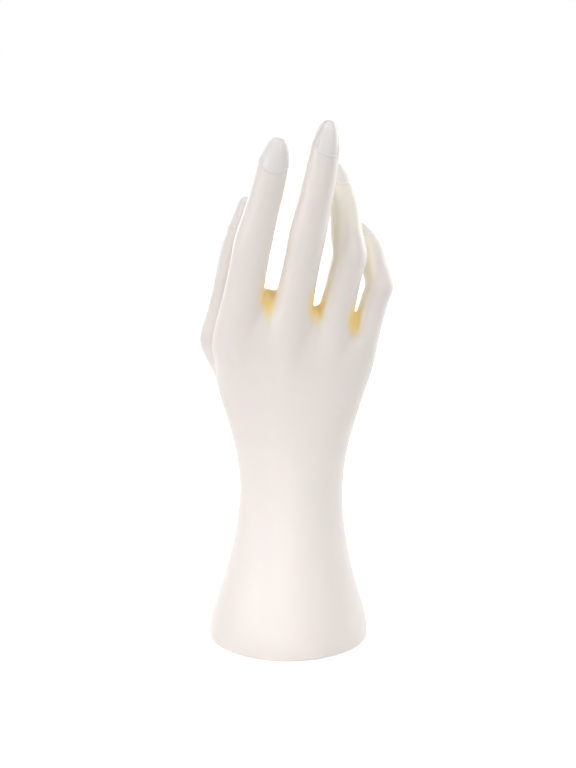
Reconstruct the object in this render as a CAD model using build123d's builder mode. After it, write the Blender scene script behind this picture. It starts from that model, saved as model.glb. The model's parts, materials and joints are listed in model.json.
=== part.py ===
from build123d import *
from collections import namedtuple
from math import cos, radians, sin
import os

# A life-size display hand that stands on its forearm. It is moulded in two hollow halves that
# meet along the middle of the fingers, with a solid thumb plugged in, five bonded nails, and a
# weighted base. The back of the hand faces -Y, the palm +Y, the thumb is at -X and Z is up.
# Millimetres, with the origin at the middle of the face that it stands on.

# Forearm, wrist and palm, over the outer surface
BASE_WIDTH = 86.0
BASE_DEPTH = 80.0
WRIST_WIDTH = 55.6
WRIST_DEPTH = 41.0
WRIST_HEIGHT = 84.0
PALM_WIDTH = 83.0
PALM_DEPTH = 26.0
PALM_HEIGHT = 153.0
FOREARM_DRIFT = 1.8
WALL = 2.4

# Fingers: knuckle to tip, and the width of the middle bone
INDEX_LENGTH = 109.6
INDEX_WIDTH = 18.9
MIDDLE_LENGTH = 116.0
MIDDLE_WIDTH = 19.2
RING_LENGTH = 103.0
RING_WIDTH = 18.4
LITTLE_LENGTH = 85.0
LITTLE_WIDTH = 15.4
THUMB_LENGTH = 80.0
THUMB_WIDTH = 17.0

# Nails
NAIL_THICKNESS = 0.8
NAIL_DROP = 0.2
NAIL_FIT = 0.1

# Thumb plug
PLUG_DIAMETER = 9.0
PLUG_LENGTH = 9.0
PLUG_FIT = 0.1

# Pegs that line the two halves up
PEG_DIAMETER = 4.0
PEG_LENGTH = 5.0
PEG_FIT = 0.1
POST_DIAMETER = 9.0

# Base: a pad under a cap that rests on a ledge and is screwed up into bosses
RIM_LIFT = 0.8
PAD_THICKNESS = 2.4
CAP_THICKNESS = 3.0
CAP_FIT = 0.2
LEDGE_WIDTH = 3.0
LEDGE_THICKNESS = 2.2
BOSS_DIAMETER = 8.0
BOSS_HEIGHT = 15.0

# Screws for the cap and the weight
SCREW_DIAMETER = 3.0
SCREW_LENGTH = 13.0
SCREW_HEAD_DIAMETER = 6.0
SCREW_HEAD_HEIGHT = 1.6
SCREW_SOCKET_WIDTH = 2.0
SCREW_FIT = 0.05
SCREW_SLACK = 0.3

# Weight inside the base
WEIGHT_DIAMETER = 52.0
WEIGHT_HEIGHT = 12.0
HUB_DIAMETER = 12.0
HUB_HEIGHT = 5.0
HUB_FIT = 0.2
WEIGHT_SCREW_DIAMETER = 4.0
WEIGHT_SCREW_LENGTH = 14.0
WEIGHT_SCREW_HEAD_DIAMETER = 10.0
WEIGHT_SCREW_HEAD_HEIGHT = 3.0
WEIGHT_SCREW_SOCKET_WIDTH = 3.0
WEIGHT_SCREW_SOCKET_DEPTH = 2.0

# Margin by which a cutting shape runs past what it cuts
OVERRUN = 20.0

# Forearm stations: share of the wrist's height, then of the flare from the wrist to the base
FLARE_SHARES = (
    (0.0, 1.0), (0.09, 0.967), (0.23, 0.762), (0.365, 0.536), (0.5, 0.338),
    (0.64, 0.185), (0.775, 0.073), (0.9, 0.013), (1.0, 0.0),
)

# Palm stations: share of the way up from the wrist, then of the change in width and in depth
PALM_SHARES = (
    (0.2, 0.08, 0.12), (0.4, 0.28, 0.36), (0.6, 0.58, 0.62), (0.8, 0.87, 0.84),
    (0.96, 0.95, 1.0), (1.08, 0.84, 1.3), (1.16, 0.66, 1.7),
)

# Girths along a finger: bone, share along it, share of the finger's width
FINGER_SHARES = (
    (0, 0.05, 0.85), (0, 0.22, 0.95), (0, 0.39, 1.06), (0, 0.56, 1.17), (0, 0.72, 1.27), (0, 0.87, 1.33),
    (1, 0.0, 1.31), (1, 0.17, 1.2), (1, 0.34, 1.08), (1, 0.51, 1.02), (1, 0.68, 0.99), (1, 0.85, 0.99),
    (2, 0.0, 1.0), (2, 0.3, 0.96), (2, 0.6, 0.91), (3, 0.0, 0.87), (3, 0.25, 0.84), (3, 0.47, 0.79),
    (3, 0.64, 0.71), (3, 0.77, 0.615), (3, 0.87, 0.5), (3, 0.94, 0.36), (3, 0.985, 0.19),
)
INDEX_SHARES = (
    (0, 0.05, 0.85), (0, 0.22, 0.95), (0, 0.39, 1.06), (0, 0.56, 1.17), (0, 0.72, 1.27), (0, 0.87, 1.33),
    (1, 0.0, 1.32), (1, 0.17, 1.24), (1, 0.34, 1.14), (1, 0.51, 1.08), (1, 0.68, 1.05), (1, 0.85, 1.04),
    (2, 0.0, 1.04), (2, 0.3, 0.99), (2, 0.6, 0.93), (3, 0.0, 0.89), (3, 0.25, 0.87), (3, 0.47, 0.83),
    (3, 0.64, 0.755), (3, 0.77, 0.66), (3, 0.87, 0.54), (3, 0.94, 0.39), (3, 0.985, 0.2),
)
THUMB_SHARES = (
    (0, 0.0, 0.8), (0, 0.15, 1.13), (0, 0.33, 1.33), (0, 0.5, 1.31), (0, 0.67, 1.21), (0, 0.84, 1.15),
    (1, 0.0, 1.18), (1, 0.2, 1.08), (1, 0.4, 1.0), (1, 0.6, 0.97), (1, 0.8, 1.0), (2, 0.0, 1.0),
    (2, 0.22, 0.97), (2, 0.42, 0.9), (2, 0.59, 0.81), (2, 0.73, 0.69), (2, 0.84, 0.56),
    (2, 0.925, 0.4), (2, 0.98, 0.21),
)
FINGER_DEPTH_SHARE = 0.93

# Each finger: the root in the palm and the knuckle, both as shares of the palm's width, depth and
# height, then each bone's share of the length, its lean to the side and its tilt to the palm
Finger = namedtuple(
    "Finger",
    "length width root_shares knuckle_shares bone_shares leans tilts roll girth_shares",
)

FINGERS = {
    "index": Finger(
        INDEX_LENGTH, INDEX_WIDTH, (-0.17, -0.08, 0.654), (-0.333, -0.08, 1.074),
        (0.484, 0.274, 0.242), (10.4, 15.2, 13.0), (-3, 1, 6), -3, INDEX_SHARES,
    ),
    "middle": Finger(
        MIDDLE_LENGTH, MIDDLE_WIDTH, (-0.036, -0.115, 0.654), (-0.009, -0.115, 1.084),
        (0.484, 0.29, 0.226), (11.2, 12.0, 9.4), (0, 5, 9), 14, FINGER_SHARES,
    ),
    "ring": Finger(
        RING_LENGTH, RING_WIDTH, (0.096, -0.08, 0.64), (0.25, 0.01, 1.05),
        (0.475, 0.268, 0.257), (13.6, -7.0, -17.0), (9.5, 28, 35), 25, FINGER_SHARES,
    ),
    "little": Finger(
        LITTLE_LENGTH, LITTLE_WIDTH, (0.205, 0.0, 0.627), (0.43, 0.12, 0.99),
        (0.504, 0.248, 0.248), (17.4, -15.5, -33.0), (15, 42, 46), 30, FINGER_SHARES,
    ),
    "thumb": Finger(
        THUMB_LENGTH, THUMB_WIDTH, (-0.11, 0.35, 0.634), (-0.471, 1.15, 1.028),
        (0.61, 0.39), (12.8, 15.0), (2, -4), -105, THUMB_SHARES,
    ),
}

# Webs: the two fingers, the bone that they lie along and how far along it the edge is
WEB_DEPTH_SHARE = 0.6
WEBS = (
    ("index", "middle", 1, 0.485), ("middle", "ring", 1, 0.37),
    ("ring", "little", 1, 0.37), ("index", "thumb", 0, 0.8),
)

# Along a web: share of the way to its edge, share of its width, share of its depth, shift to the palm
WEB_SHARES = (
    (-0.4, 0.9, 1.0, 0.05), (-0.1, 1.0, 0.98, 0.05), (0.2, 1.0, 0.88, 0.1), (0.48, 1.0, 0.74, 0.16),
    (0.74, 0.96, 0.58, 0.24), (0.92, 0.85, 0.38, 0.3), (1.0, 0.7, 0.2, 0.32),
)

# Pads of the palm, at the heel of the hand and at the ball of the thumb. Each row is a place, a half
# width and a half depth, as shares of the palm.
PAD_SHARES = {
    "heel": (
        (0.13, 0.15, 0.54, 0.07, 0.3), (0.2, 0.3, 0.62, 0.12, 0.42), (0.26, 0.36, 0.71, 0.14, 0.46),
        (0.3, 0.34, 0.8, 0.14, 0.45), (0.32, 0.24, 0.9, 0.12, 0.36), (0.31, 0.1, 0.99, 0.08, 0.24),
    ),
    "ball": (
        (-0.05, 0.2, 0.55, 0.07, 0.28), (-0.12, 0.42, 0.64, 0.15, 0.42), (-0.17, 0.52, 0.74, 0.17, 0.46),
        (-0.21, 0.54, 0.84, 0.16, 0.42), (-0.23, 0.42, 0.94, 0.13, 0.34), (-0.24, 0.2, 1.03, 0.08, 0.22),
    ),
}

# Nails: where the cuticle and the edge lie along the last bone, the width of the finger covered,
# and the rounding of the cuticle and of the edge as shares of the nail's width
CUTICLE_SHARE = 0.37
NAIL_EDGE_SHARE = 0.985
NAIL_WIDTH_SHARE = 0.7
NAIL_EDGE_WIDTH_SHARE = 0.78
CUTICLE_ROUND_SHARE = 0.22
NAIL_EDGE_ROUND_SHARE = 0.3
NAIL_LIFT_SHARE = 0.1

# Where the halves part: heights as shares of the palm's height, with the fingers set in the line
PARTING_SHARES = (0.97, 1.1, 1.22, 1.34, 1.46, 1.58, 1.7, 1.85)

# Pegs: place as shares of the wrist's width and of the palm's height
PEG_SHARES = ((-0.34, 0.33), (0.34, 0.33), (0.06, 0.82))

# Bosses for the cap's screws: share of the base's width and depth
BOSS_SHARES = ((0.285, 0.27), (-0.285, 0.27), (-0.285, -0.27), (0.285, -0.27))

CAP_TOP = PAD_THICKNESS + CAP_THICKNESS
WEIGHT_TOP = CAP_TOP + WEIGHT_HEIGHT
RECESS_HALF_WIDTH = BASE_WIDTH / 2 - WALL
RECESS_HALF_DEPTH = BASE_DEPTH / 2 - WALL
LONG_FINGERS = ("index", "middle", "ring", "little")
BOSS_PLACES = [(x_share * BASE_WIDTH, y_share * BASE_DEPTH) for x_share, y_share in BOSS_SHARES]
PEG_PLACES = [(x_share * WRIST_WIDTH, z_share * PALM_HEIGHT) for x_share, z_share in PEG_SHARES]


def heading(lean, tilt):
    """Unit vector that leans to +X and tilts to +Y from straight up."""
    return Vector(
        sin(radians(lean)) * cos(radians(tilt)),
        sin(radians(tilt)),
        cos(radians(lean)) * cos(radians(tilt)),
    )


def palm_point(across_share, deep_share, high_share):
    return Vector(across_share * PALM_WIDTH, deep_share * PALM_DEPTH, high_share * PALM_HEIGHT)


def joints_of(finger):
    """The ends of a finger's bones, from its root in the palm to its tip."""
    points = [palm_point(*finger.root_shares), palm_point(*finger.knuckle_shares)]
    for share, lean, tilt in zip(finger.bone_shares, finger.leans, finger.tilts):
        points.append(points[-1] + heading(lean, tilt) * share * finger.length)
    return points


def point_along(finger, bone, share):
    points = joints_of(finger)
    return points[bone] + (points[bone + 1] - points[bone]) * share


def bone_frame(finger, bone, share):
    """Plane across a bone: x to the finger's palm side, z along it. At a joint it halves the bend."""
    points = joints_of(finger)
    along = (points[bone + 1] - points[bone]).normalized()
    if share == 0 and bone:
        along = (along + (points[bone] - points[bone - 1]).normalized()).normalized()
    side = Vector(cos(radians(finger.roll)), sin(radians(finger.roll)), 0)
    return Plane(point_along(finger, bone, share), along.cross(side).normalized(), along)


def finger_stations(finger, first_bone=0):
    """Planes and half sizes of the ellipses that a finger is lofted through."""
    stations = []
    for bone, share, girth_share in finger.girth_shares:
        half_width = finger.width * girth_share / 2
        if bone >= first_bone:
            stations.append((bone_frame(finger, bone, share), half_width * FINGER_DEPTH_SHARE, half_width))
    return stations


def palmward_plane(point):
    """Level plane whose x faces the palm's side."""
    return Plane(point, x_dir=(0, 1, 0), z_dir=(0, 0, 1))


def core_stations():
    """Forearm and palm: upright ellipses from the foot to the knuckles."""
    stations = []
    for high_share, flare_share in FLARE_SHARES:
        half_width = (WRIST_WIDTH + (BASE_WIDTH - WRIST_WIDTH) * flare_share) / 2
        half_depth = (WRIST_DEPTH + (BASE_DEPTH - WRIST_DEPTH) * flare_share) / 2
        height = RIM_LIFT + (WRIST_HEIGHT - RIM_LIFT) * high_share
        stations.append((palmward_plane((FOREARM_DRIFT * high_share, 0, height)), half_depth, half_width))
    for high_share, spread_share, thin_share in PALM_SHARES:
        half_width = (WRIST_WIDTH + (PALM_WIDTH - WRIST_WIDTH) * spread_share) / 2
        half_depth = (WRIST_DEPTH + (PALM_DEPTH - WRIST_DEPTH) * thin_share) / 2
        height = WRIST_HEIGHT + (PALM_HEIGHT - WRIST_HEIGHT) * high_share
        stations.append((palmward_plane((FOREARM_DRIFT, 0, height)), half_depth, half_width))
    return stations


def web_stations(first, second, bone, edge_share):
    """Skin between two fingers, thick at the knuckles and thin at its edge."""
    one = FINGERS[first]
    other = FINGERS[second]
    half_depth = (one.width + other.width) / 2 * WEB_DEPTH_SHARE
    low = (point_along(one, bone, 0) + point_along(other, bone, 0)) / 2
    high = (point_along(one, bone, edge_share) + point_along(other, bone, edge_share)) / 2
    along = (high - low).normalized()
    stations = []
    for way_share, width_share, depth_share, shift_share in WEB_SHARES:
        ends = [point_along(finger, bone, edge_share * way_share) for finger in (one, other)]
        side = ends[1] - ends[0]
        side = side - along * side.dot(along)
        palmward = along.cross(side).normalized()
        point = (ends[0] + ends[1]) / 2 + palmward * shift_share * half_depth
        half_width = side.length / 2 * width_share
        stations.append((Plane(point, palmward, along), half_depth * depth_share, half_width))
    return stations


def pad_stations(name):
    """Level ellipses of a soft swelling on the palm."""
    return [
        (palmward_plane(palm_point(*row[:3])), row[4] * PALM_DEPTH, row[3] * PALM_WIDTH)
        for row in PAD_SHARES[name]
    ]


def limb(stations, inset=0):
    """Smooth solid through a row of ellipses, drawn in by the inset, up to where that is too thin."""
    with BuildPart() as solid:
        for plane, half_depth, half_width in stations:
            if half_depth > inset * 1.5:
                with BuildSketch(plane):
                    Ellipse(half_depth - inset, half_width - inset)
        loft()
    return solid.part


# Whole thumb, cut at its knuckle into a stub on the hand and a piece that plugs into it
thumb_seam = bone_frame(FINGERS["thumb"], 1, 0)

with BuildPart() as thumb_limb:
    add(limb(finger_stations(FINGERS["thumb"])))

with BuildPart() as thumb_stub:
    add(thumb_limb.part)
    split(bisect_by=thumb_seam, keep=Keep.BOTTOM)

# Outer form of the hand
with BuildPart() as hand:
    add(limb(core_stations()))
    add([limb(finger_stations(FINGERS[name])) for name in LONG_FINGERS])
    add(thumb_stub.part)
    add([limb(pad_stations(name)) for name in PAD_SHARES])
    add([limb(web_stations(*web)) for web in WEBS])


# Hollow of the two halves, a wall in from the outer form. The thumb's stub stays solid round its plug.
thumb_floor = Plane(
    thumb_seam.origin - thumb_seam.z_dir * (PLUG_LENGTH + PLUG_FIT + WALL),
    x_dir=thumb_seam.x_dir,
    z_dir=thumb_seam.z_dir,
)

with BuildPart() as thumb_hollow:
    add(limb(finger_stations(FINGERS["thumb"]), WALL))
    split(bisect_by=thumb_floor, keep=Keep.BOTTOM)

with BuildPart() as hollow:
    add(limb(core_stations(), WALL))
    add([limb(finger_stations(FINGERS[name]), WALL) for name in LONG_FINGERS])
    add(thumb_hollow.part)
    add([limb(pad_stations(name), WALL) for name in PAD_SHARES])


def parting_point(finger, height):
    """Where a finger's middle line passes a height. Under the knuckle the parting is flat, at Y 0."""
    points = joints_of(finger)[1:]
    if height <= points[0].Z:
        return (points[0].X, 0)
    for start, end in zip(points, points[1:]):
        if height <= end.Z:
            place = start + (end - start) * ((height - start.Z) / (end.Z - start.Z))
            return (place.X, place.Y)
    return (points[-1].X, points[-1].Y)


# Everything on the back's side of the parting line, which runs through the middle of each finger
with BuildPart() as back_side:
    for height in (-OVERRUN, *(share * PALM_HEIGHT for share in PARTING_SHARES)):
        places = [parting_point(FINGERS[name], height) for name in LONG_FINGERS]
        with BuildSketch(Plane.XY.offset(height)):
            with BuildLine():
                Spline((-PALM_WIDTH, places[0][1]), *places, (PALM_WIDTH, places[-1][1]))
                Polyline(
                    (PALM_WIDTH, places[-1][1]),
                    (PALM_WIDTH, -BASE_DEPTH),
                    (-PALM_WIDTH, -BASE_DEPTH),
                    (-PALM_WIDTH, places[0][1]),
                )
            make_face()
    loft(ruled=True)

# Inside the halves: the ledge for the cap, the bosses for its screws and the posts for the pegs
with BuildPart() as supports:
    with BuildSketch(Plane.XY.offset(CAP_TOP)):
        Ellipse(RECESS_HALF_WIDTH + WALL / 2, RECESS_HALF_DEPTH + WALL / 2)
        Ellipse(RECESS_HALF_WIDTH - LEDGE_WIDTH, RECESS_HALF_DEPTH - LEDGE_WIDTH, mode=Mode.SUBTRACT)
    extrude(amount=LEDGE_THICKNESS)
    with BuildSketch(Plane.XY.offset(CAP_TOP)):
        with Locations(*BOSS_PLACES):
            Circle(BOSS_DIAMETER / 2)
    extrude(amount=BOSS_HEIGHT)
    with BuildSketch(Plane.XZ):
        with Locations(*PEG_PLACES):
            Circle(POST_DIAMETER / 2)
    extrude(amount=BASE_DEPTH, both=True)
    add(hand.part, mode=Mode.INTERSECT)


def last_bone(finger):
    return len(finger.bone_shares)


def nail_block(finger, fit=0):
    """Block over a nail, from a little above the middle of the finger outwards, with the nail's outline."""
    frame = bone_frame(finger, last_bone(finger), CUTICLE_SHARE)
    length = (NAIL_EDGE_SHARE - CUTICLE_SHARE) * finger.bone_shares[-1] * finger.length
    half_width = NAIL_WIDTH_SHARE * finger.width / 2
    half_edge = half_width * NAIL_EDGE_WIDTH_SHARE
    cuticle_round = CUTICLE_ROUND_SHARE * half_width * 2
    edge_round = NAIL_EDGE_ROUND_SHARE * half_width * 2
    lift = NAIL_LIFT_SHARE * finger.width
    with BuildPart() as block:
        with BuildSketch(Plane(frame.origin - frame.x_dir * lift, -frame.y_dir, -frame.x_dir)):
            with BuildLine():
                ThreePointArc((-half_width, cuticle_round), (0, 0), (half_width, cuticle_round))
                line = Line((half_width, cuticle_round), (half_edge, length - edge_round))
                ThreePointArc(line @ 1, (0, length), (-half_edge, length - edge_round))
                Line((-half_edge, length - edge_round), (-half_width, cuticle_round))
            make_face()
            if fit:
                offset(amount=-fit, mode=Mode.REPLACE)
        extrude(amount=finger.width)
    return block.part


# Nails and the seats that they are bonded into
nails = {}
nail_seats = {}

for name, finger in FINGERS.items():
    tip_stations = finger_stations(finger, last_bone(finger))
    nail_bed = limb(tip_stations, NAIL_DROP + NAIL_THICKNESS)

    with BuildPart() as nail_seat:
        add(nail_block(finger))
        add(nail_bed, mode=Mode.SUBTRACT)
    nail_seats[name] = nail_seat.part

    with BuildPart() as nail:
        add(nail_block(finger, NAIL_FIT))
        add(limb(tip_stations, NAIL_DROP), mode=Mode.INTERSECT)
        add(nail_bed, mode=Mode.SUBTRACT)
    nails[name] = nail.part

# Thumb, with the plug that holds it in the palm's half
with BuildPart() as thumb:
    add(thumb_limb.part)
    split(bisect_by=thumb_seam, keep=Keep.TOP)
    add(nail_seats["thumb"], mode=Mode.SUBTRACT)
    with BuildSketch(thumb_seam):
        Circle(PLUG_DIAMETER / 2)
    extrude(amount=-PLUG_LENGTH)

# Hollow hand before it is parted
with BuildPart() as shell:
    add(hand.part)
    add(hollow.part, mode=Mode.SUBTRACT)
    add(supports.part)
    with BuildSketch(Plane.XY):
        Ellipse(RECESS_HALF_WIDTH, RECESS_HALF_DEPTH)
    extrude(amount=CAP_TOP, mode=Mode.SUBTRACT)
    with BuildSketch(Plane.XY.offset(CAP_TOP)):
        with Locations(*BOSS_PLACES):
            Circle(SCREW_DIAMETER / 2 + SCREW_FIT)
    extrude(amount=SCREW_LENGTH - CAP_THICKNESS + SCREW_SLACK, mode=Mode.SUBTRACT)
    with BuildSketch(thumb_seam):
        Circle(PLUG_DIAMETER / 2 + PLUG_FIT)
    extrude(amount=-PLUG_LENGTH - PLUG_FIT, mode=Mode.SUBTRACT)
    add([nail_seats[name] for name in LONG_FINGERS], mode=Mode.SUBTRACT)

with BuildPart() as back_shell:
    add(shell.part)
    add(back_side.part, mode=Mode.INTERSECT)
    with BuildSketch(Plane.XZ):
        with Locations(*PEG_PLACES):
            Circle(PEG_DIAMETER / 2)
    extrude(amount=PEG_LENGTH, both=True)

with BuildPart() as palm_shell:
    add(shell.part)
    add(back_side.part, mode=Mode.SUBTRACT)
    with BuildSketch(Plane.XZ):
        with Locations(*PEG_PLACES):
            Circle(PEG_DIAMETER / 2 + PEG_FIT)
    extrude(amount=PEG_LENGTH + PEG_FIT, both=True, mode=Mode.SUBTRACT)

# Cap that closes the foot, with a hub for the weight
with BuildPart() as base_cap:
    with BuildSketch(Plane.XY.offset(PAD_THICKNESS)):
        Ellipse(RECESS_HALF_WIDTH - CAP_FIT, RECESS_HALF_DEPTH - CAP_FIT)
    extrude(amount=CAP_THICKNESS)
    with BuildSketch(Plane.XY.offset(CAP_TOP)):
        Circle(HUB_DIAMETER / 2)
    extrude(amount=HUB_HEIGHT)
    with BuildSketch(Plane.XY.offset(WEIGHT_TOP)):
        Circle(WEIGHT_SCREW_DIAMETER / 2 + SCREW_FIT)
    extrude(amount=-WEIGHT_SCREW_LENGTH - SCREW_SLACK, mode=Mode.SUBTRACT)
    with BuildSketch(Plane.XY.offset(PAD_THICKNESS)):
        with Locations(*BOSS_PLACES):
            Circle(SCREW_DIAMETER / 2 + SCREW_SLACK)
    extrude(amount=CAP_THICKNESS, mode=Mode.SUBTRACT)
    with BuildSketch(Plane.XY.offset(PAD_THICKNESS)):
        with Locations(*BOSS_PLACES):
            Circle(SCREW_HEAD_DIAMETER / 2 + SCREW_SLACK)
    extrude(amount=SCREW_HEAD_HEIGHT, mode=Mode.SUBTRACT)

# Four screws that hold the cap and tie the halves together at the foot
with BuildPart() as base_screws:
    with BuildSketch(Plane.XY.offset(PAD_THICKNESS)):
        with Locations(*BOSS_PLACES):
            Circle(SCREW_HEAD_DIAMETER / 2)
    extrude(amount=SCREW_HEAD_HEIGHT)
    with BuildSketch(Plane.XY.offset(PAD_THICKNESS)):
        with Locations(*BOSS_PLACES):
            Circle(SCREW_DIAMETER / 2)
    extrude(amount=SCREW_LENGTH)
    with BuildSketch(Plane.XY.offset(PAD_THICKNESS)):
        with Locations(*BOSS_PLACES):
            RegularPolygon(SCREW_SOCKET_WIDTH / 2, 6, major_radius=False)
    extrude(amount=SCREW_HEAD_HEIGHT, mode=Mode.SUBTRACT)

# Steel weight, bored for the hub and the screw
with BuildPart() as weight:
    with BuildSketch(Plane.XY.offset(CAP_TOP)):
        Circle(WEIGHT_DIAMETER / 2)
    extrude(amount=WEIGHT_HEIGHT)
    with BuildSketch(Plane.XY.offset(CAP_TOP)):
        Circle(HUB_DIAMETER / 2 + HUB_FIT)
    extrude(amount=HUB_HEIGHT + HUB_FIT, mode=Mode.SUBTRACT)
    with BuildSketch(Plane.XY.offset(CAP_TOP)):
        Circle(WEIGHT_SCREW_DIAMETER / 2 + SCREW_SLACK)
    extrude(amount=WEIGHT_HEIGHT, mode=Mode.SUBTRACT)

with BuildPart() as weight_screw:
    with BuildSketch(Plane.XY.offset(WEIGHT_TOP)):
        Circle(WEIGHT_SCREW_HEAD_DIAMETER / 2)
    extrude(amount=WEIGHT_SCREW_HEAD_HEIGHT)
    with BuildSketch(Plane.XY.offset(WEIGHT_TOP)):
        Circle(WEIGHT_SCREW_DIAMETER / 2)
    extrude(amount=-WEIGHT_SCREW_LENGTH)
    with BuildSketch(Plane.XY.offset(WEIGHT_TOP + WEIGHT_SCREW_HEAD_HEIGHT)):
        RegularPolygon(WEIGHT_SCREW_SOCKET_WIDTH / 2, 6, major_radius=False)
    extrude(amount=-WEIGHT_SCREW_SOCKET_DEPTH, mode=Mode.SUBTRACT)

# Soft pad that the hand stands on, under the cap and its screws
with BuildPart() as base_pad:
    with BuildSketch(Plane.XY):
        Ellipse(RECESS_HALF_WIDTH - CAP_FIT, RECESS_HALF_DEPTH - CAP_FIT)
    extrude(amount=PAD_THICKNESS)

pieces = {
    "back_shell": back_shell.part,
    "palm_shell": palm_shell.part,
    "thumb": thumb.part,
    "base_cap": base_cap.part,
    "base_screws": base_screws.part,
    "ballast_weight": weight.part,
    "ballast_screw": weight_screw.part,
    "base_pad": base_pad.part,
    **{f"nail_{name}": nail for name, nail in nails.items()},
}

os.makedirs("parts", exist_ok=True)
for name, piece in pieces.items():
    piece.label = name
    export_step(piece, f"parts/{name}.step")
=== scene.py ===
import json
import math
from collections import namedtuple

import bmesh
import bpy
import numpy as np
import openvdb as vdb
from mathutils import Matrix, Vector
from mathutils.bvhtree import BVHTree

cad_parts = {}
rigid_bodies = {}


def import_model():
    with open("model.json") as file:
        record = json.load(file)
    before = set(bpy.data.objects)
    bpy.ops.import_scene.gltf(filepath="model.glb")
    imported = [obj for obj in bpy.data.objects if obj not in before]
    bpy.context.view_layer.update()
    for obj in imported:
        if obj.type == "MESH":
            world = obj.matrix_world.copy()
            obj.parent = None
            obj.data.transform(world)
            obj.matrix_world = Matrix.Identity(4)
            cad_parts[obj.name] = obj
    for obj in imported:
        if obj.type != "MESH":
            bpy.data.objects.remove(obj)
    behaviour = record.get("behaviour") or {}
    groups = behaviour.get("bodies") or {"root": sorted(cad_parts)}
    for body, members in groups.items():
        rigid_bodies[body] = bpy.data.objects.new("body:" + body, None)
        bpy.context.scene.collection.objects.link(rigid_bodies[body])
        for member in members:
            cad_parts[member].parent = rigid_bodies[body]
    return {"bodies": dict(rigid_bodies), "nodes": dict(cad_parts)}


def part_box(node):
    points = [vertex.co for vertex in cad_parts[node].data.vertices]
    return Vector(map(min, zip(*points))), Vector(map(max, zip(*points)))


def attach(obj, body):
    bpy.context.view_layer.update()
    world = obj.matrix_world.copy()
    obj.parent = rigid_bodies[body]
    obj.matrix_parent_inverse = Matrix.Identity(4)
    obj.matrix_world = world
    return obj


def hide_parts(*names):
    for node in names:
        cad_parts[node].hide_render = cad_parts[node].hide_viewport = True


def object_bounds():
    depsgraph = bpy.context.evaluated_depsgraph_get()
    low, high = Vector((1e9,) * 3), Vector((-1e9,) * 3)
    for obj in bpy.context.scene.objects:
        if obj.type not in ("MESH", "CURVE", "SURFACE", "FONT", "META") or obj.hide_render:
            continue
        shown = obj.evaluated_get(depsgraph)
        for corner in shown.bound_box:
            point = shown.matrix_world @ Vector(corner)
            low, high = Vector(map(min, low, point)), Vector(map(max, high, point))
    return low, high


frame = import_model()
cad_low, cad_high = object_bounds()
nodes = frame["nodes"]
BODY = next(iter(frame["bodies"]))

# Lengths are in millimetres down to the looks, and in metres from there on. Angles are in degrees
MM = 0.001
TINY = 1e-9

# Volume that the skin is shaped in. The margin is the room left round the hand, and the reach is
# the longest distance that the volume holds
VOXEL = 1.0
MARGIN = 14.0
REACH = 12.0
LAST_CELL = 1.001
BLUR_REACH = 2.5
SLOPE_STEP = 0.7

# Filling of the hollow inside: a gap between two solids counts as shut up to twice the crack. The
# levels stand for the filled inside, its border and the air
CRACK = 0.3
INSIDE_LEVEL = -1.0
BORDER_LEVEL = -0.02
AIR_LEVEL = 3.0

# Softening: light on the fingers, and strong below the line of the webs, which slants to the little
# finger. The thumb has its own, with fades in depth, across and up
FINGER_BLUR = 0.7
PALM_CREASE_RADIUS = 6.0
PALM_BLUR = 3.2
WEB_LINE_HEIGHT = 188.0
WEB_LINE_START = -9.0
WEB_LINE_SLOPE = 0.4
WEB_LINE_FADE = 26.0
THUMB_BLUR = 2.2
THUMB_DEPTH_FADE = (6.0, 12.0)
THUMB_SIDE_FADE = (-16.0, -8.0)
THUMB_TOP_FADE = (186.0, 204.0)

# The thumb's tip is made fuller round the top of its nail
THUMB_TIP_GROWTH = 1.5
THUMB_TIP_REACH = 5.0

# Nails: the direction of each last bone (lean, tilt, roll), the finger's half width, the nail's
# length, how far the ends of the cuticle rise, and the share of the finger's width that it covers
Nail = namedtuple("Nail", "lean tilt roll half length rise share")
NAILS = {
    "thumb": Nail(15.0, -4.0, -105.0, 7.0, 17.5, 1.8, 0.86),
    "index": Nail(13.0, 6.0, -3.0, 7.7, 16.6, 3.0, 0.92),
    "middle": Nail(9.4, 9.0, 16.0, 7.8, 16.8, 1.7, 0.7),
    "ring": Nail(-17.0, 35.0, 25.0, 7.4, 15.8, 2.2, 0.85),
    "little": Nail(-33.0, 46.0, 30.0, 6.3, 12.8, 1.8, 0.85),
}
NAIL_THICKNESS = 0.7
NAIL_CROWN = 0.3
NAIL_OVERLAP = 0.12
NAIL_TIP_SHORT = 0.35
NAIL_TIP_ROUND = 0.8
NAIL_COLUMNS = 32
NAIL_ROWS = 36
NAIL_SETTLE_ROUNDS = 4
NAIL_SETTLE_SHARE = 0.8
NAIL_BEVEL = 0.14
NAIL_BEVEL_ANGLE = 0.9
NAIL_BEVEL_PROFILE = 0.6

# Measuring of the fingers at the nails
MARCH_ROUNDS = 30
MARCH_LIMIT = 14.0
TIP_MARCH_LIMIT = 30.0
AXIS_RISE = 1.0
PROFILE_BELOW = 4.0
PROFILE_ROWS = 60
PROFILE_WIDEST = 1.08
HALF_WIDTH_LEAST = 0.05
CUTICLE_SHARE_MOST = 1.3

# Skin round the nails: where its faces are finer, the seat, and the lip that is raised round it.
# The lip fades towards the finger's tip
NAIL_REGION = 17.0
NAIL_REGION_FRONT = -0.5
NAIL_REGION_BELOW = 2.5
NAIL_REGION_CUTS = 2
SEAT_REGION = NAIL_REGION + 3.0
SEAT_DEPTH = 0.5
SEAT_EDGE = (-0.05, 0.28)
OUTSIDE = -99.0
LIP_HEIGHT = 0.48
LIP_WIDTH = 0.6
LIP_PLACE = 0.5
LIP_FADE = 0.9
LIP_FADE_TOP = 0.5

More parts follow.
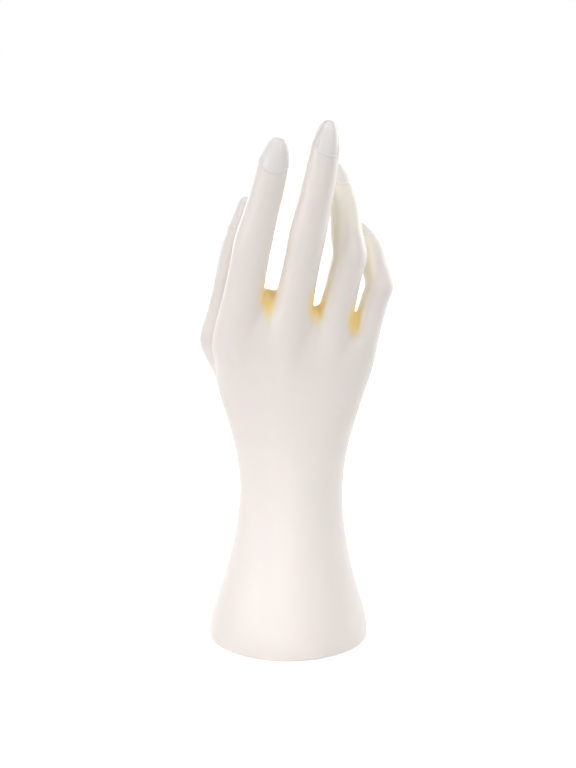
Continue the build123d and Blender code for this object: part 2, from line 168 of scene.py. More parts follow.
# Foot: up to FOOT_STRAIGHT the volume goes straight down. The skin ends at the rim, whose edge is
# rounded in to the recess that the cap and the pad sit in
FOOT_STRAIGHT = 4.0
RIM_HEIGHT = 0.3
RIM_ROUND = 0.9
RECESS_HALF_WIDTH = 40.6
RECESS_HALF_DEPTH = 37.6
RECESS_HEIGHT = 5.2

# Rows of the rim from the cut down: height as a share of the rounding, and how far in. A row
# without the second is on the recess's oval
FOOT_ROWS = (
    (0.6, 0.12), (0.25, 0.45), (0.06, 0.9), (0.0, RIM_ROUND),
    (0.0, None), (RECESS_HEIGHT / RIM_ROUND, None),
)
CUT_TOLERANCE = 1e-4
BORDER_TOLERANCE = 1e-3

# Pieces of the skin by the node that each replaces, the wall, and how near to the parting line a
# vertex counts as on it
SHELLS = {"back_shell": "back_skin", "palm_shell": "palm_skin", "thumb": "thumb_skin"}
SKIN_WALL = 1.1
SNAP = 0.12

# Painted cream glow, standing in for light bounced between the fingers and passed through the
# plastic: how shut in a point is at these depths, above the knuckles, and less on the index and
# middle finger than on the outer fingers
SHUT_DEPTHS = (2.0, 4.0, 7.0, 11.0)
SHUT_MOST = 1.2
SHUT_HEIGHT_FADE = (150.0, 175.0)
OUTER_FINGERS_FADE = (6.0, 16.0)
SHUT_SHARE_INNER = 0.45
SHUT_SHARE_OUTER = 0.55
PAINTED_GLOW_MOST = 0.42

# Painted light that comes through the outer fingers: on the sides that face the middle finger, and
# behind
PAINTED_FACING_LIGHT_SHARE = 0.16
FACING_FADE = (0.1, 0.8)
FACING_LOW_FADE = (165.0, 185.0)
FACING_HIGH_FADE = (225.0, 255.0)
PAINTED_BEHIND_LIGHT_SHARE = 0.28
BEHIND_DEPTH_FADE = (0.0, 12.0)
BEHIND_HEIGHT_FADE = (195.0, 225.0)

# Painted yellow glow in the webs, for light passed through and bounced between them: place across
# and up, then half width and half height
PAINTED_WEB_GLOW_SPOTS = (
    (-10.2, 188.8, 4.2, 10.6), (14.7, 184.2, 4.4, 9.6), (34.6, 175.0, 3.7, 9.0),
)
PAINTED_WEB_GLOW_POWER = 1.1


def node_mesh(name):
    """Points and triangles of a CAD node."""
    mesh = nodes[name].data
    mesh.calc_loop_triangles()
    points = np.empty(len(mesh.vertices) * 3, np.float32)
    mesh.vertices.foreach_get("co", points)
    triangles = np.empty(len(mesh.loop_triangles) * 3, np.int32)
    mesh.loop_triangles.foreach_get("vertices", triangles)
    return points.reshape(-1, 3) / MM, triangles.reshape(-1, 3)


corner_low = np.array(cad_low) / MM - MARGIN
corner_high = np.array(cad_high) / MM + MARGIN
origin = np.floor(corner_low / VOXEL).astype(int)
grid_shape = np.ceil((corner_high - corner_low) / VOXEL).astype(int) + 1
GRID_CORNER = tuple(int(i) for i in origin)
TRANSFORM = vdb.createLinearTransform(voxelSize=VOXEL)


def along_axis(values, axis):
    """A row of values turned to lie along one axis of the volume."""
    return values.reshape([-1 if i == axis else 1 for i in range(3)])


def grid_line(axis):
    """Places of the volume's points along one of its axes."""
    return along_axis((np.arange(grid_shape[axis]) + origin[axis]) * VOXEL, axis)


def distances(points, triangles=None, quads=None):
    """Signed distances on the volume's grid, cut off at the reach."""
    faces = {"triangles": triangles} if quads is None else {"quads": quads}
    faces = {key: value.astype(np.uint32) for key, value in faces.items()}
    grid = vdb.FloatGrid.createLevelSetFromPolygons(
        points.astype(np.float32), transform=TRANSFORM, halfWidth=REACH / VOXEL, **faces
    )
    values = np.full(grid_shape, REACH, np.float32)
    grid.copyToArray(values, ijk=GRID_CORNER)
    return values


def surface(values, level=0.0):
    """Points and quads of the surface where the volume has that value."""
    grid = vdb.FloatGrid(REACH)
    grid.copyFromArray(np.ascontiguousarray(values, np.float32), ijk=GRID_CORNER)
    grid.transform = TRANSFORM
    return grid.convertToQuads(isovalue=level)


def spread(seed, free):
    """Voxels of the free space that straight runs from the seed reach, round corners too."""
    reached = seed & free
    while True:
        before = reached.sum()
        for axis in range(3):
            for flipped in (False, True):
                a = np.flip(reached, axis) if flipped else reached
                b = np.flip(free, axis) if flipped else free
                steps = along_axis(np.arange(a.shape[axis]), axis)
                last_reached = np.maximum.accumulate(np.where(a, steps, -1), axis)
                last_blocked = np.maximum.accumulate(np.where(b, -1, steps), axis)
                a = b & (last_reached > last_blocked)
                reached = reached | (np.flip(a, axis) if flipped else a)
        if reached.sum() == before:
            return reached


def grown(mask):
    """The mask with one voxel more on all sides."""
    wide = mask.copy()
    for axis in range(3):
        wide |= np.roll(mask, 1, axis) | np.roll(mask, -1, axis)
    return wide


def blurred(values, radius):
    """Gaussian blur with that standard deviation."""
    sigma = radius / VOXEL
    half = int(math.ceil(BLUR_REACH * sigma))
    weights = np.exp(-0.5 * (np.arange(-half, half + 1) / sigma) ** 2)
    weights /= weights.sum()
    for axis in range(3):
        total = np.zeros_like(values)
        for step, weight in zip(range(-half, half + 1), weights):
            total += np.roll(values, step, axis) * weight
        values = total
    return values


def outer_body():
    """The whole hand as one closed body: the solids together, with the hollow inside filled."""
    points = []
    triangles = []
    count = 0
    for name in nodes:
        p, t = node_mesh(name)
        points.append(p)
        triangles.append(t + count)
        count += len(p)
    raw = distances(np.concatenate(points), np.concatenate(triangles))
    air = raw > CRACK
    seed = np.zeros_like(air)
    seed[0] = seed[-1] = seed[:, 0] = seed[:, -1] = seed[:, :, 0] = seed[:, :, -1] = True
    outside = spread(seed, air)
    outside = outside | (grown(outside) & (raw > 0))
    border = grown(outside) & ~outside
    inside = np.where(border, np.minimum(raw, BORDER_LEVEL), INSIDE_LEVEL)
    filled = np.where(outside, raw, inside)
    body_points, quads = surface(np.clip(filled, INSIDE_LEVEL, AIR_LEVEL))
    return distances(body_points, quads=quads)


def closed(values, radius):
    """Creases narrower than the radius are filled with a round fillet."""
    points, quads = surface(values, radius)
    return distances(points, quads=quads) + radius


def smoothstep(x, low, high):
    """0 up to low, 1 from high on, and a soft rise between them."""
    t = np.clip((x - low) / (high - low), 0.0, 1.0)
    return t * t * (3.0 - 2.0 * t)


def skin_volume():
    """Signed distances of the softened hand."""
    raw = outer_body()
    straight = int(FOOT_STRAIGHT / VOXEL) - origin[2]
    raw[:, :, :straight] = raw[:, :, straight:straight + 1]
    low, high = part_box("nail_thumb")
    tip = np.array([(low.x + high.x) / 2, (low.y + high.y) / 2, high.z]) / MM
    far = sum(((grid_line(axis) - tip[axis]) / THUMB_TIP_REACH) ** 2 for axis in range(3))
    raw -= THUMB_TIP_GROWTH * np.exp(-far)
    fingers = blurred(raw, FINGER_BLUR)
    palm = blurred(closed(raw, PALM_CREASE_RADIUS), PALM_BLUR)
    thumb = blurred(raw, THUMB_BLUR)
    across, deep, up = [grid_line(axis) for axis in range(3)]
    line = WEB_LINE_HEIGHT - WEB_LINE_SLOPE * np.maximum(across - WEB_LINE_START, 0.0)
    share = smoothstep(up - line, -WEB_LINE_FADE, 0.0)
    thumb_share = smoothstep(deep, *THUMB_DEPTH_FADE) * (1.0 - smoothstep(across, *THUMB_SIDE_FADE))
    thumb_share = thumb_share * (1.0 - smoothstep(up, *THUMB_TOP_FADE))
    fingers = thumb * thumb_share + fingers * (1.0 - thumb_share)
    return fingers * share + palm * (1.0 - share)


def sample(values, points):
    """Trilinear values of the volume at points."""
    p = points / VOXEL - origin
    p = np.clip(p, 0.0, np.array(grid_shape) - LAST_CELL)
    i = p.astype(int)
    f = p - i
    total = np.zeros(len(points))
    for dx in (0, 1):
        for dy in (0, 1):
            for dz in (0, 1):
                weight = np.ones(len(points))
                for axis, d in enumerate((dx, dy, dz)):
                    weight = weight * (f[:, axis] if d else 1.0 - f[:, axis])
                total += weight * values[i[:, 0] + dx, i[:, 1] + dy, i[:, 2] + dz]
    return total


def unit(vectors):
    """Vectors brought to length 1."""
    return vectors / np.maximum(np.linalg.norm(vectors, axis=-1, keepdims=True), TINY)


def slope(values, points):
    """Unit directions away from the body at points."""
    parts = []
    for axis in range(3):
        shift = np.zeros(3)
        shift[axis] = SLOPE_STEP * VOXEL
        parts.append(sample(values, points + shift) - sample(values, points - shift))
    return unit(np.stack(parts, 1))


def settled(values, points, rounds=3):
    """Points moved onto the body's surface."""
    for _ in range(rounds):
        points = points - sample(values, points)[:, None] * slope(values, points)
    return points


def march(start, direction, limit=MARCH_LIMIT):
    """How far it is from points inside the body to its surface, in one direction."""
    start = np.atleast_2d(start)
    far = np.zeros(len(start))
    for _ in range(MARCH_ROUNDS):
        depth = sample(volume, start + far[:, None] * direction)
        far = np.where(depth < 0.0, far - depth, far)
    return np.minimum(far, limit)


def nail_axes(name):
    """Middle of the nail's box, then the directions across, along and outwards."""
    lean, tilt, roll = [math.radians(angle) for angle in NAILS[name][:3]]
    flat = math.cos(tilt)
    along = Vector((math.sin(lean) * flat, math.sin(tilt), math.cos(lean) * flat))
    side = Vector((math.cos(roll), math.sin(roll), 0.0))
    outward = -along.cross(side).normalized()
    across = along.cross(outward).normalized()
    low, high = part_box("nail_" + name)
    return [np.array(v) for v in ((low + high) / 2 / MM, across, along, outward)]


# A nail's place: a point on the finger's axis, three directions, the heights of the nail's two ends
# above that point, and rows of heights with the finger's half widths to the left and right there
NailShape = namedtuple("NailShape", "axis across along outward edge cuticle rows left right")


def nail_shape(name):
    """Measures the finger at a nail."""
    middle, across, along, outward = nail_axes(name)
    nail = NAILS[name]
    axis = middle - outward * (nail.half - AXIS_RISE)
    for _ in range(2):
        for way in (across, outward):
            axis = axis + way * (march(axis, way)[0] - march(axis, -way)[0]) / 2
    edge = march(axis, along, TIP_MARCH_LIMIT)[0] - NAIL_TIP_SHORT
    rows = np.linspace(edge - nail.length - PROFILE_BELOW, edge + NAIL_TIP_SHORT, PROFILE_ROWS)
    points = axis + rows[:, None] * along
    widest = nail.half * PROFILE_WIDEST
    left = np.minimum(march(points, -across), widest)
    right = np.minimum(march(points, across), widest)
    return NailShape(axis, across, along, outward, edge, edge - nail.length, rows, left, right)


def half_width(name, shape, u, v):
    """Half width of the nail at each height, on the side that u is on."""
    left = np.interp(v, shape.rows, shape.left)
    right = np.interp(v, shape.rows, shape.right)
    return np.maximum(np.where(u < 0, left, right) * NAILS[name].share, HALF_WIDTH_LEAST)


def nail_ends(name, shape, share):
    """Lowest and highest place of the nail at a share of its half width."""
    low = shape.cuticle + NAILS[name].rise * share ** 2
    return low, shape.edge - NAIL_TIP_ROUND * share ** 2


def nail_outline(name, shape, u, v):
    """Distance inside the nail's outline, negative outside it."""
    width = half_width(name, shape, u, v)
    low, high = nail_ends(name, shape, np.minimum(np.abs(u) / width, CUTICLE_SHARE_MOST))
    return np.minimum(np.minimum(width - np.abs(u), v - low), high - v)


def add_foot(bm):
    """Cuts the bottom off and adds the rounded rim and the recess. Returns the new vertices."""
    cut = RIM_HEIGHT + RIM_ROUND
    bmesh.ops.bisect_plane(
        bm, geom=list(bm.verts) + list(bm.edges) + list(bm.faces), plane_co=(0, 0, cut),
        plane_no=(0, 0, 1), clear_inner=True,
    )
    for v in [v for v in bm.verts if v.co.z < cut - CUT_TOLERANCE]:
        bm.verts.remove(v)
    edges = [
        e for e in bm.edges if e.is_boundary and abs(e.verts[0].co.z - cut) < BORDER_TOLERANCE
    ]
    starts = {v: v.co.copy() for e in edges for v in e.verts}
    added = set()
    for high, inset in FOOT_ROWS:
        made = bmesh.ops.extrude_edge_only(bm, edges=edges)["geom"]
        edges = [g for g in made if isinstance(g, bmesh.types.BMEdge)]
        row = {}
        for v in [g for g in made if isinstance(g, bmesh.types.BMVert)]:
            above = [e.other_vert(v) for e in v.link_edges if e.other_vert(v) in starts]
            row[v] = starts[above[0]]
        for v, start in row.items():
            if inset is None:
                angle = math.atan2(start.y / RECESS_HALF_DEPTH, start.x / RECESS_HALF_WIDTH)
                x, y = RECESS_HALF_WIDTH * math.cos(angle), RECESS_HALF_DEPTH * math.sin(angle)
                v.co = Vector((x, y, 0.0))
            else:
                flat = Vector((start.x, start.y, 0.0))
                v.co = flat * (1.0 - inset / flat.length)
            v.co.z = RIM_HEIGHT + high * RIM_ROUND
        starts = row
        added.update(row)
    return added


def shut_in(values, at, directions):
    """How shut in each point is, from 0 in the open to 1 deep between the fingers."""
    shut = np.zeros(len(at))
    for depth in SHUT_DEPTHS:
        air = sample(values, at + directions * depth)
        shut += np.clip((depth - air) / depth, 0.0, SHUT_MOST)
    return shut / len(SHUT_DEPTHS)


def painted_glow_strength(at, directions):
    """Strength of the painted cream glow at each point."""
    across, deep, up = at.T
    shade = shut_in(volume, at, directions) * smoothstep(up, *SHUT_HEIGHT_FADE)
    outer = smoothstep(across, *OUTER_FINGERS_FADE)
    facing = smoothstep(-directions[:, 0], *FACING_FADE) * outer
    facing *= smoothstep(up, *FACING_LOW_FADE) * (1.0 - smoothstep(up, *FACING_HIGH_FADE))
    behind = outer * smoothstep(deep, *BEHIND_DEPTH_FADE) * smoothstep(up, *BEHIND_HEIGHT_FADE)
    shade = shade * (SHUT_SHARE_INNER + SHUT_SHARE_OUTER * outer)
    return np.minimum(shade + PAINTED_FACING_LIGHT_SHARE * facing + PAINTED_BEHIND_LIGHT_SHARE * behind, PAINTED_GLOW_MOST)


def painted_web_glow_strength(at):
    """Strength of the painted yellow glow in the webs at each point."""
    painted_web_glow = np.zeros(len(at))
    for spot_x, spot_z, wide, tall in PAINTED_WEB_GLOW_SPOTS:
        far = ((at[:, 0] - spot_x) / wide) ** 2 + ((at[:, 2] - spot_z) / tall) ** 2
        painted_web_glow = np.maximum(painted_web_glow, np.exp(-(far ** PAINTED_WEB_GLOW_POWER)))
    return painted_web_glow


volume = skin_volume()
nail_shapes = {name: nail_shape(name) for name in NAILS}

skin_points, skin_quads = surface(volume)
bm = bmesh.new()
for p in skin_points:
    bm.verts.new(p)
bm.verts.ensure_lookup_table()
for q in skin_quads:
    bm.faces.new([bm.verts[int(i)] for i in reversed(q)])
bm.normal_update()

# Finer faces round the nails
for shape in nail_shapes.values():
    axis, outward, along = [Vector(v) for v in (shape.axis, shape.outward, shape.along)]
    near = []
    for edge in bm.edges:
        offset = edge.verts[0].co - axis
        in_front = offset.length < NAIL_REGION and offset.dot(outward) > NAIL_REGION_FRONT
        if in_front and offset.dot(along) > shape.cuticle - NAIL_REGION_BELOW:
            near.append(edge)
    bmesh.ops.subdivide_edges(bm, edges=near, cuts=NAIL_REGION_CUTS, use_grid_fill=True)
bmesh.ops.triangulate(bm, faces=[f for f in bm.faces if len(f.verts) > 4])

foot = add_foot(bm)
bmesh.ops.recalc_face_normals(bm, faces=bm.faces)
bm.normal_update()
bm.verts.ensure_lookup_table()
bm.verts.index_update()

points = np.array([v.co for v in bm.verts])
body_zone = np.array([v not in foot for v in bm.verts])
points[body_zone] = settled(volume, points[body_zone])
normals = np.array([v.normal for v in bm.verts])
normals[body_zone] = slope(volume, points[body_zone])

# Nail seats and the raised lips round them
for name, shape in nail_shapes.items():
    offset = points - shape.axis
    u = offset @ shape.across
    v = offset @ shape.along
    near = np.linalg.norm(offset, axis=1) < SEAT_REGION
    near &= offset @ shape.outward > NAIL_REGION_FRONT
    inside = np.where(near, nail_outline(name, shape, u, v), OUTSIDE)
    height = (v - shape.cuticle) / (shape.edge - shape.cuticle)
    lip = np.exp(-(((inside + LIP_PLACE) / LIP_WIDTH) ** 2))
    lip *= 1.0 - LIP_FADE * smoothstep(height, 0.0, LIP_FADE_TOP)
    seat = smoothstep(inside, *SEAT_EDGE)
    points += normals * (LIP_HEIGHT * lip - SEAT_DEPTH * seat)[:, None]
for v, p in zip(bm.verts, points):
    v.co = p
bm.normal_update()


def reach_of(node):
    """Distance of each vertex of the skin from a CAD node."""
    points, triangles = node_mesh(node)
    tree = BVHTree.FromPolygons([Vector(v) for v in points.tolist()], triangles.tolist())
    return np.array([tree.find_nearest(v.co)[3] for v in bm.verts])


def snapped(value):
    """The value, or 0 where it is near the parting line."""
    return value if abs(value) > SNAP else 0.0


def cut_along(values):
    """Splits the skin's faces where the values, one for each vertex, change sign."""
    level = {v: snapped(values[v.index]) for v in bm.verts}
    for edge in list(bm.edges):
        a, b = edge.verts
        if level[a] * level[b] < 0.0:
            new = bmesh.utils.edge_split(edge, a, level[a] / (level[a] - level[b]))[1]
            level[new] = 0.0
    for face in list(bm.faces):
        zero = [v for v in face.verts if level[v] == 0.0]
        numbers = [level[v] for v in face.verts]
        if len(zero) == 2 and min(numbers) < 0.0 < max(numbers):
            bmesh.utils.face_split(face, zero[0], zero[1])


# Values of the vertices: two painted glows, cream between the fingers and yellow in the webs, and
# two that change sign at the edges of the back and the thumb
reach = {node: reach_of(node) for node in SHELLS}
vertex_values = {
    "painted_glow_share": painted_glow_strength(points, normals),
    "painted_web_glow": painted_web_glow_strength(points),
    "seam": np.minimum(reach["palm_shell"], reach["thumb"]) - reach["back_shell"],
    "thumb_value": reach["palm_shell"] - reach["thumb"],
}
layers = {label: bm.verts.layers.float.new(label) for label in vertex_values}
normal_layer = bm.verts.layers.float_vector.new("outward")
for v in bm.verts:
    for label, layer in layers.items():
        v[layer] = vertex_values[label][v.index]
    v[normal_layer] = v.normal
cut_along(vertex_values["seam"])
bm.verts.index_update()
cut_along(np.array([v[layers["thumb_value"]] for v in bm.verts]))
bm.faces.index_update()
bm.verts.index_update()
bm.verts.ensure_lookup_table()


def owner(face):
    """CAD node that a face of the skin belongs to."""
    back, thumb = [
        sum(snapped(v[layers[label]]) for v in face.verts) for label in ("seam", "thumb_value")
    ]
    if back > 0:
        return "back_shell"
    return "thumb" if thumb > 0 else "palm_shell"


def new_object(name, data):
    """A new object in the scene."""
    obj = bpy.data.objects.new(name, data)
    bpy.context.scene.collection.objects.link(obj)
    return obj


def piece_of(node):
    """Wall of the hand for one CAD node: the outer faces, the same faces a wall in, and the rim."""
    faces = [f for f in bm.faces if owner(f) == node]
    used = sorted({v.index for f in faces for v in f.verts})
    place = {index: i for i, index in enumerate(used)}
    outer = np.array([bm.verts[i].co for i in used])
    out = unit(np.array([bm.verts[i][normal_layer] for i in used]))
    count = len(used)
    rows = [[place[v.index] for v in f.verts] for f in faces]
    sides = dict.fromkeys((a, b) for row in rows for a, b in zip(row, row[1:] + row[:1]))
    border = [(a, b) for a, b in sides if (b, a) not in sides]
    polygons = rows + [[i + count for i in reversed(row)] for row in rows]
    loop_normals = [tuple(out[i]) for row in rows for i in row]
    loop_normals += [tuple(-out[i]) for row in rows for i in reversed(row)]
    for a, b in border:
        polygons.append([b, a, a + count, b + count])
        loop_normals += [tuple(unit(np.cross(outer[b] - outer[a], out[a])))] * 4
    walls = np.concatenate([outer, outer - out * SKIN_WALL])
    mesh = bpy.data.meshes.new(SHELLS[node])
    mesh.from_pydata([tuple(p) for p in walls * MM], [], polygons)
    mesh.polygons.foreach_set("use_smooth", [True] * len(mesh.polygons))
    mesh.normals_split_custom_set(loop_normals)
    for label in ("painted_glow_share", "painted_web_glow", "seam"):
        data = mesh.attributes.new(label, "FLOAT", "POINT").data
        data.foreach_set("value", [bm.verts[i][layers[label]] for i in used] * 2)
    mesh.update()
    return new_object(SHELLS[node], mesh)


def nail_piece(name):
    """A nail: a curved plate that follows the finger, with a crown and a free edge."""
    shape = nail_shapes[name]
    axis, across, along, outward = shape[:4]
    share, climb = [grid.ravel() for grid in np.meshgrid(
        np.linspace(-1.0, 1.0, NAIL_COLUMNS + 1), np.linspace(0.0, 1.0, NAIL_ROWS + 1)
    )]
    low, high = nail_ends(name, shape, share)
    v = low - NAIL_OVERLAP + (high - low + 2 * NAIL_OVERLAP) * climb
    u = share * (half_width(name, shape, share, v) + NAIL_OVERLAP)
    flat = axis + u[:, None] * across + v[:, None] * along
    on_skin = flat + march(flat, outward)[:, None] * outward
    for _ in range(NAIL_SETTLE_ROUNDS):
        on_skin = settled(volume, on_skin, rounds=1)
        offset = on_skin - axis
        on_skin = on_skin + NAIL_SETTLE_SHARE * (
            (u - offset @ across)[:, None] * across + (v - offset @ along)[:, None] * along
        )
    on_skin = settled(volume, on_skin)
    away = slope(volume, on_skin)
    rise = NAIL_CROWN * (1.0 - share ** 2)
    top = on_skin + away * rise[:, None]
    bottom = on_skin + away * (rise - NAIL_THICKNESS)[:, None]

    count = len(top)
    width = NAIL_COLUMNS + 1
    faces = []
    for j in range(NAIL_ROWS):
        for i in range(NAIL_COLUMNS):
            a = j * width + i
            faces.append([a, a + 1, a + 1 + width, a + width])
            faces.append([a + count + width, a + 1 + width + count, a + 1 + count, a + count])
    ring = list(range(width))
    ring += [j * width + NAIL_COLUMNS for j in range(1, NAIL_ROWS + 1)]
    ring += [NAIL_ROWS * width + i for i in range(NAIL_COLUMNS - 1, -1, -1)]
    ring += [j * width for j in range(NAIL_ROWS - 1, 0, -1)]
    for a, b in zip(ring, ring[1:] + ring[:1]):
        faces.append([b, a, a + count, b + count])
    mesh = bpy.data.meshes.new("nail")
    mesh.from_pydata([tuple(p) for p in np.concatenate([top, bottom]) * MM], [], faces)
    work = bmesh.new()
    work.from_mesh(mesh)
    bmesh.ops.recalc_face_normals(work, faces=work.faces)
    rim = [e for e in work.edges if e.calc_face_angle(0.0) > NAIL_BEVEL_ANGLE]
    bmesh.ops.bevel(
        work, geom=rim, offset=NAIL_BEVEL * MM, segments=2, affect="EDGES",
        profile=NAIL_BEVEL_PROFILE,
    )
    work.to_mesh(mesh)
    mesh.polygons.foreach_set("use_smooth", [True] * len(mesh.polygons))
    mesh.update()
    return new_object("nail_plate_" + name, mesh)


# Looks. The scales of the textures are per metre, and the depth of the grain is in metres
CLOUD_SCALE = 35.0
CLOUD_DETAIL = 3.0
GLOSS_SPREAD = 0.05
GRAIN_DETAIL = 2.0
GRAIN_STRENGTH = 0.35

SKIN_PLAIN = (0.8, 0.74, 0.69)
SKIN_LOW = (0.78, 0.70, 0.66)
SKIN_HIGH = (0.80, 0.72, 0.68)
# Painted glow: lighter cream colour for light bounced between the fingers and passed through the
# plastic
SKIN_PAINTED_GLOW = (0.93, 0.84, 0.71)
# Painted glow: yellow for light passed through and bounced in the webs
SKIN_PAINTED_WEB_GLOW = (0.93, 0.66, 0.27)
PAINTED_GLOW_FADE = (0.06, 0.5)
PAINTED_WEB_GLOW_FADE = (0.06, 0.9)
SEAM_HALF_WIDTH = 0.14
SEAM_LEVEL = 0.96
SKIN_INPUTS = {
    "Subsurface Weight": 0.4,
    "Subsurface Radius": (1.0, 0.7, 0.4),
    "Subsurface Scale": 0.0035,
    "IOR": 1.5,
    "Sheen Weight": 0.4,
    "Sheen Roughness": 0.35,
}
NAIL_INPUTS = {"Coat Weight": 0.12, "Coat Roughness": 0.12}


def feed(tree, socket, value):
    """Links an output to an input, or gives the input a constant."""
    if isinstance(value, bpy.types.NodeSocket):
        tree.links.new(value, socket)
    else:
        socket.default_value = value


def math_of(tree, operation, *values):
    """Output of a Math node."""
    node = tree.nodes.new("ShaderNodeMath")
    node.operation = operation
    for socket, value in zip(node.inputs, values):
        feed(tree, socket, value)
    return node.outputs["Value"]


def mixed(tree, factor, a, b, kind="RGBA", blend="MIX"):
    """Output of a Mix node."""
    node = tree.nodes.new("ShaderNodeMix")
    node.data_type = kind
    node.blend_type = blend
    for label, value in (("Factor", factor), ("A", a), ("B", b)):
        feed(tree, node.inputs[label], value)
    return node.outputs["Result"]


def mapped(tree, value, low, high, to_low=0.0, to_high=1.0, kind="LINEAR"):
    """Output of a Map Range node."""
    node = tree.nodes.new("ShaderNodeMapRange")
    node.interpolation_type = kind
    tree.links.new(value, node.inputs["Value"])
    limits = {"From Min": low, "From Max": high, "To Min": to_low, "To Max": to_high}
    for label, number in limits.items():
        node.inputs[label].default_value = number
    return node.outputs["Result"]


def noise(tree, place, scale, detail):
    """Output of a Noise Texture node."""
    node = tree.nodes.new("ShaderNodeTexNoise")
    node.inputs["Scale"].default_value = scale
    node.inputs["Detail"].default_value = detail
    tree.links.new(place, node.inputs["Vector"])
    return node.outputs["Fac"]


def attribute(tree, name):
    """One of the values that the vertices of the skin carry."""
    node = tree.nodes.new("ShaderNodeAttribute")
    node.attribute_name = name
    return node.outputs["Fac"]


def plastic(name, color, roughness, grain_scale, grain_depth, inputs=()):
    """Moulded plastic with a slightly uneven gloss and a fine grain, its shader and the clouds."""
    material = bpy.data.materials.new(name)
    material.use_nodes = True
    tree = material.node_tree
    shader = tree.nodes["Principled BSDF"]
    shader.inputs["Base Color"].default_value = (*color, 1.0)
    place = tree.nodes.new("ShaderNodeTexCoord").outputs["Object"]
    cloud = noise(tree, place, CLOUD_SCALE, CLOUD_DETAIL)
    gloss = mapped(tree, cloud, 0.0, 1.0, roughness - GLOSS_SPREAD, roughness + GLOSS_SPREAD)
    tree.links.new(gloss, shader.inputs["Roughness"])
    bump = tree.nodes.new("ShaderNodeBump")
    bump.inputs["Strength"].default_value = GRAIN_STRENGTH
    bump.inputs["Distance"].default_value = grain_depth
    tree.links.new(noise(tree, place, grain_scale, GRAIN_DETAIL), bump.inputs["Height"])
    tree.links.new(bump.outputs["Normal"], shader.inputs["Normal"])
    for label, value in dict(inputs).items():
        shader.inputs[label].default_value = value
    return material, shader, cloud


def skin_material():
    """Warm ivory, with a painted cream glow between the fingers and a painted yellow glow in the
    webs, and a line at the seams.
    """
    material, shader, cloud = plastic(
        "skin_plastic", SKIN_PLAIN, 0.42, 900.0, 0.00002, SKIN_INPUTS
    )
    tree = material.node_tree
    ivory = mixed(tree, cloud, (*SKIN_LOW, 1.0), (*SKIN_HIGH, 1.0))
    # Painted cream glow: lighter, warmer colour where the fingers shut each other in, for bounced
    # light and light through the plastic
    painted_glow_mix = mapped(tree, attribute(tree, "painted_glow_share"), *PAINTED_GLOW_FADE, kind="SMOOTHSTEP")
    with_painted_glow = mixed(tree, painted_glow_mix, ivory, (*SKIN_PAINTED_GLOW, 1.0))
    # Painted yellow glow in the webs, for light through and between them; deep is its strength
    deep = mapped(tree, attribute(tree, "painted_web_glow"), *PAINTED_WEB_GLOW_FADE, kind="SMOOTHSTEP")
    with_painted_web_glow = mixed(tree, deep, with_painted_glow, (*SKIN_PAINTED_WEB_GLOW, 1.0))
    seam = math_of(tree, "ABSOLUTE", attribute(tree, "seam"))
    line = mapped(tree, seam, 0.0, SEAM_HALF_WIDTH, SEAM_LEVEL, 1.0)
    tree.links.new(mixed(tree, 1.0, with_painted_web_glow, line, blend="MULTIPLY"), shader.inputs["Base Color"])
    return material


def background_rays(tree):
    """1 for the rays that show the white background: camera, glossy and transmission rays."""
    path = tree.nodes.new("ShaderNodeLightPath")
    seen = path.outputs["Is Camera Ray"]
    for kind in ("Is Glossy Ray", "Is Transmission Ray"):
        seen = math_of(tree, "MAXIMUM", seen, path.outputs[kind])
    return seen


skin_look = skin_material()
nail_look = plastic("nail_plastic", (0.74, 0.705, 0.685), 0.36, 500.0, 0.00001, NAIL_INPUTS)[0]
cap_look = plastic("cap_plastic", (0.34, 0.33, 0.31), 0.5, 1200.0, 0.00005)[0]
pad_look = plastic("pad_foam", (0.80, 0.78, 0.75), 0.85, 2200.0, 0.00015)[0]
screw_look = plastic("zinc", (0.55, 0.55, 0.56), 0.34, 1500.0, 0.00003, {"Metallic": 1.0})[0]
weight_look = plastic("cast_iron", (0.09, 0.09, 0.095), 0.6, 1500.0, 0.00003, {"Metallic": 0.8})[0]

for node in SHELLS:
    piece = piece_of(node)
    piece.data.materials.append(skin_look)
    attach(piece, BODY)
    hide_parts(node)

for name in NAILS:
    piece = nail_piece(name)
    piece.data.materials.append(nail_look)
    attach(piece, BODY)
    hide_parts("nail_" + name)

for node, look in (
    ("base_cap", cap_look), ("base_pad", pad_look), ("base_screws", screw_look),
    ("ballast_screw", screw_look), ("ballast_weight", weight_look),
):
    data = nodes[node].data
    data.materials.clear()
    data.materials.append(look)

# Camera at the height and the tilt of the photograph
CAMERA_DISTANCE = 1.0
CAMERA_HEIGHT = 0.416
CAMERA_PITCH = 15.4
CAMERA_SENSOR = 36.0
CAMERA_LENS = 92.53
CAMERA_NEAR = 0.05
camera_data = bpy.data.cameras.new("camera")
camera = new_object("camera", camera_data)
camera.location = (0.0, -CAMERA_DISTANCE, CAMERA_HEIGHT)
camera.rotation_euler = (math.radians(90.0 - CAMERA_PITCH), 0.0, 0.0)
camera_data.sensor_width = CAMERA_SENSOR
camera_data.lens = CAMERA_LENS
camera_data.clip_start = CAMERA_NEAR
bpy.context.scene.camera = camera

# Room: plain white for the rays that show the background. Its light on the object is softer, and a
# little stronger from behind and above
WORLD_LEVEL = 0.43
WORLD_BACK = 0.2
WORLD_TOP = 0.04
WHITE = (1.0, 1.0, 1.0, 1.0)
world = bpy.data.worlds.new("room")
bpy.context.scene.world = world
world.use_nodes = True
room = world.node_tree
back = room.nodes["Background"]
back.inputs["Color"].default_value = WHITE
way = room.nodes.new("ShaderNodeTexCoord")
split = room.nodes.new("ShaderNodeSeparateXYZ")
room.links.new(way.outputs["Generated"], split.inputs["Vector"])
level = WORLD_LEVEL
for axis, share in (("Y", WORLD_BACK), ("Z", WORLD_TOP)):
    level = math_of(room, "MULTIPLY_ADD", split.outputs[axis], share, level)
strength = mixed(room, background_rays(room), level, 1.0, kind="FLOAT")
room.links.new(strength, back.inputs["Strength"])

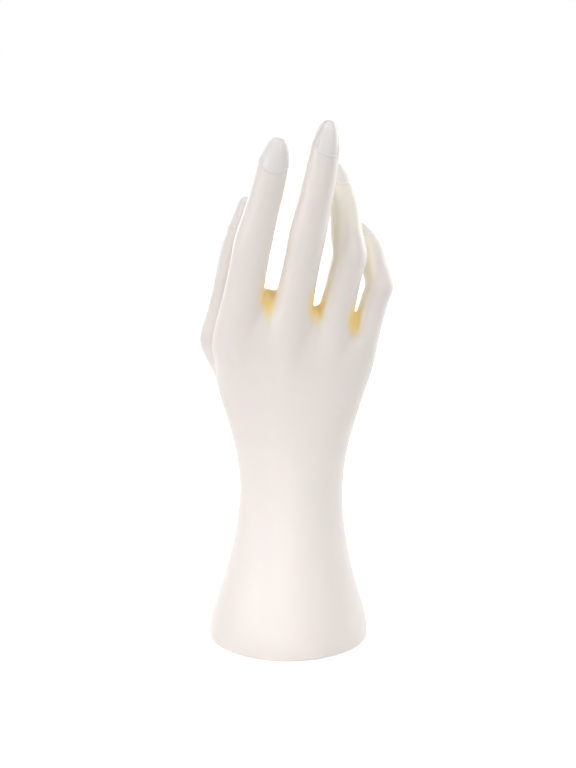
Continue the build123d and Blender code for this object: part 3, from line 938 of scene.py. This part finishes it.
# Floor: near to white for the same rays, with the object's shadow on it
FLOOR_HALF = 3.0
FLOOR_DROP = 0.0002
FLOOR_COLOR = (0.9, 0.9, 0.9, 1.0)
FLOOR_ROUGHNESS = 0.9
FLOOR_GLOW = 0.62
floor_mesh = bpy.data.meshes.new("floor")
floor_mesh.from_pydata(
    [(x * FLOOR_HALF, y * FLOOR_HALF, 0) for x, y in ((-1, -1), (1, -1), (1, 1), (-1, 1))],
    [], [(0, 1, 2, 3)],
)
floor = new_object("floor", floor_mesh)
floor.location.z = -FLOOR_DROP
floor_look = bpy.data.materials.new("floor_white")
floor_look.use_nodes = True
tree = floor_look.node_tree
shader = tree.nodes["Principled BSDF"]
shader.inputs["Base Color"].default_value = FLOOR_COLOR
shader.inputs["Roughness"].default_value = FLOOR_ROUGHNESS
shader.inputs["Emission Color"].default_value = WHITE
glow = math_of(tree, "MULTIPLY", background_rays(tree), FLOOR_GLOW)
tree.links.new(glow, shader.inputs["Emission Strength"])
floor_mesh.materials.append(floor_look)


def add_lamp(name, kind, place, target, power):
    """A lamp turned to the target."""
    lamp = new_object(name, bpy.data.lights.new(name, kind))
    lamp.data.energy = power
    lamp.location = place
    lamp.rotation_euler = (Vector(target) - Vector(place)).to_track_quat("-Z", "Y").to_euler()
    return lamp


# Lamps: place, width and power
LAMPS = {
    "key": ((-0.89, -0.52, 0.51), 0.5, 3.8),
    "fill": ((0.6, -0.42, 0.9), 0.6, 3.3),
    "top": ((-0.16, -0.24, 1.19), 0.6, 2.7),
    "low": ((-0.03, -0.2, 0.03), 0.12, 0.09),
    "rim_left": ((-0.5, 0.85, 0.34), 0.5, 2.2),
    "rim_right": ((0.78, 0.6, 0.34), 0.5, 3.0),
}
LAMP_TARGET = (0.0, 0.0, 0.14)
for name, (place, width, power) in LAMPS.items():
    lamp = add_lamp(name, "AREA", place, LAMP_TARGET, power)
    lamp.visible_camera = False
    lamp.data.size = width

# A soft spot on the flare of the forearm
SPOT_PLACE = (-0.13, -0.5, 0.3)
SPOT_TARGET = (-0.004, 0.0, 0.032)
SPOT_POWER = 1.8
SPOT_ANGLE = 17.0
SPOT_RADIUS = 0.05
spot = add_lamp("foot_spot", "SPOT", SPOT_PLACE, SPOT_TARGET, SPOT_POWER).data
spot.spot_size = math.radians(SPOT_ANGLE)
spot.spot_blend = 1.0
spot.shadow_soft_size = SPOT_RADIUS

bpy.context.scene.view_settings.view_transform = "Standard"
